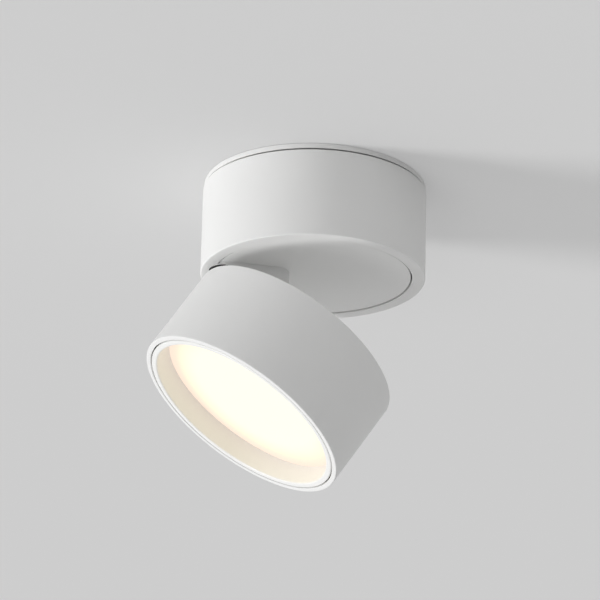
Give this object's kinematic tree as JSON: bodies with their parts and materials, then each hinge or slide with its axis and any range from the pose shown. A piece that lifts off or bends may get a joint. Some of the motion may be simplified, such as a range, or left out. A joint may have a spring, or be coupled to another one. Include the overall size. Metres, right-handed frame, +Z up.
{
  "type": "surface mounted ceiling spotlight",
  "caption": "Round folding ceiling spotlight: a drum base with a rotary plate under it and a drum lamp head that pans and tilts on an offset hinge.",
  "frame": {"origin": "centre of the ceiling plate's upper face, which lies on the ceiling", "axes": "+Z up into the ceiling along the pan axis, hinge on the -X side, +Y along the hinge pin"},
  "size_m": [0.1348, 0.11, 0.1527],
  "materials": {
    "white_coat": "matt white powder coat on cast and pressed aluminium",
    "white_plastic": "matt white moulding",
    "opal_plastic": "opal diffuser sheet, lit from behind",
    "grommet_rubber": "moulded rubber",
    "zinc_steel": "zinc plated steel",
    "spring_steel": "blued spring steel",
    "brass": "plain brass",
    "nylon": "natural nylon",
    "driver_plastic": "white polycarbonate",
    "circuit_board": "green solder mask",
    "transformer_core": "ferrite core under yellow tape",
    "capacitor_sleeve": "sleeved can",
    "bare_aluminium": "bare aluminium",
    "board_white": "white solder mask on an aluminium core",
    "phosphor": "yellow phosphor",
    "thermal_pad": "grey thermal pad"
  },
  "bodies": {
    "base": {"ceiling_plate": "white_coat", "cable_grommet": "grommet_rubber", "cord_clamp": "nylon", "cord_clamp_screws": "zinc_steel", "base_housing": "white_coat", "driver_case": "driver_plastic", "driver_cover": "driver_plastic", "driver_board": "circuit_board", "driver_transformer": "transformer_core", "driver_capacitors": "capacitor_sleeve", "driver_screws": "zinc_steel", "terminal_block": "nylon", "terminal_screws": "brass", "terminal_fixings": "zinc_steel", "earth_screw": "brass", "pan_bush": "nylon", "glide_washer": "nylon", "stop_pin": "zinc_steel"},
    "rotor": {"pan_shaft": "zinc_steel", "stop_washer": "zinc_steel", "spring_washer": "spring_steel", "pan_nut": "zinc_steel", "rotary_plate": "white_coat", "hinge_bracket": "white_coat", "bracket_screws": "zinc_steel"},
    "head": {"head_housing": "white_coat", "hinge_knuckle": "zinc_steel", "knuckle_screws": "zinc_steel", "hinge_pin": "zinc_steel", "hinge_nut": "zinc_steel", "friction_washers": "nylon", "heat_sink": "bare_aluminium", "sink_screws": "zinc_steel", "thermal_pad": "thermal_pad", "led_board": "board_white", "led_packages": "phosphor", "board_plug": "nylon", "board_screws": "zinc_steel", "inner_reflector": "white_plastic", "diffuser": "opal_plastic", "trim_ring": "white_plastic"}
  },
  "joints": [
    {"name": "pan", "type": "hinge", "parent": "base", "child": "rotor", "pos_m": [0, 0, -0.036], "axis": [0, 0, 1], "range_deg": [-170, 170]},
    {"name": "tilt", "type": "hinge", "parent": "rotor", "child": "head", "pos_m": [-0.048, 0, -0.0565], "axis": [0, 1, 0], "range_deg": [-33, 57]}
  ]
}
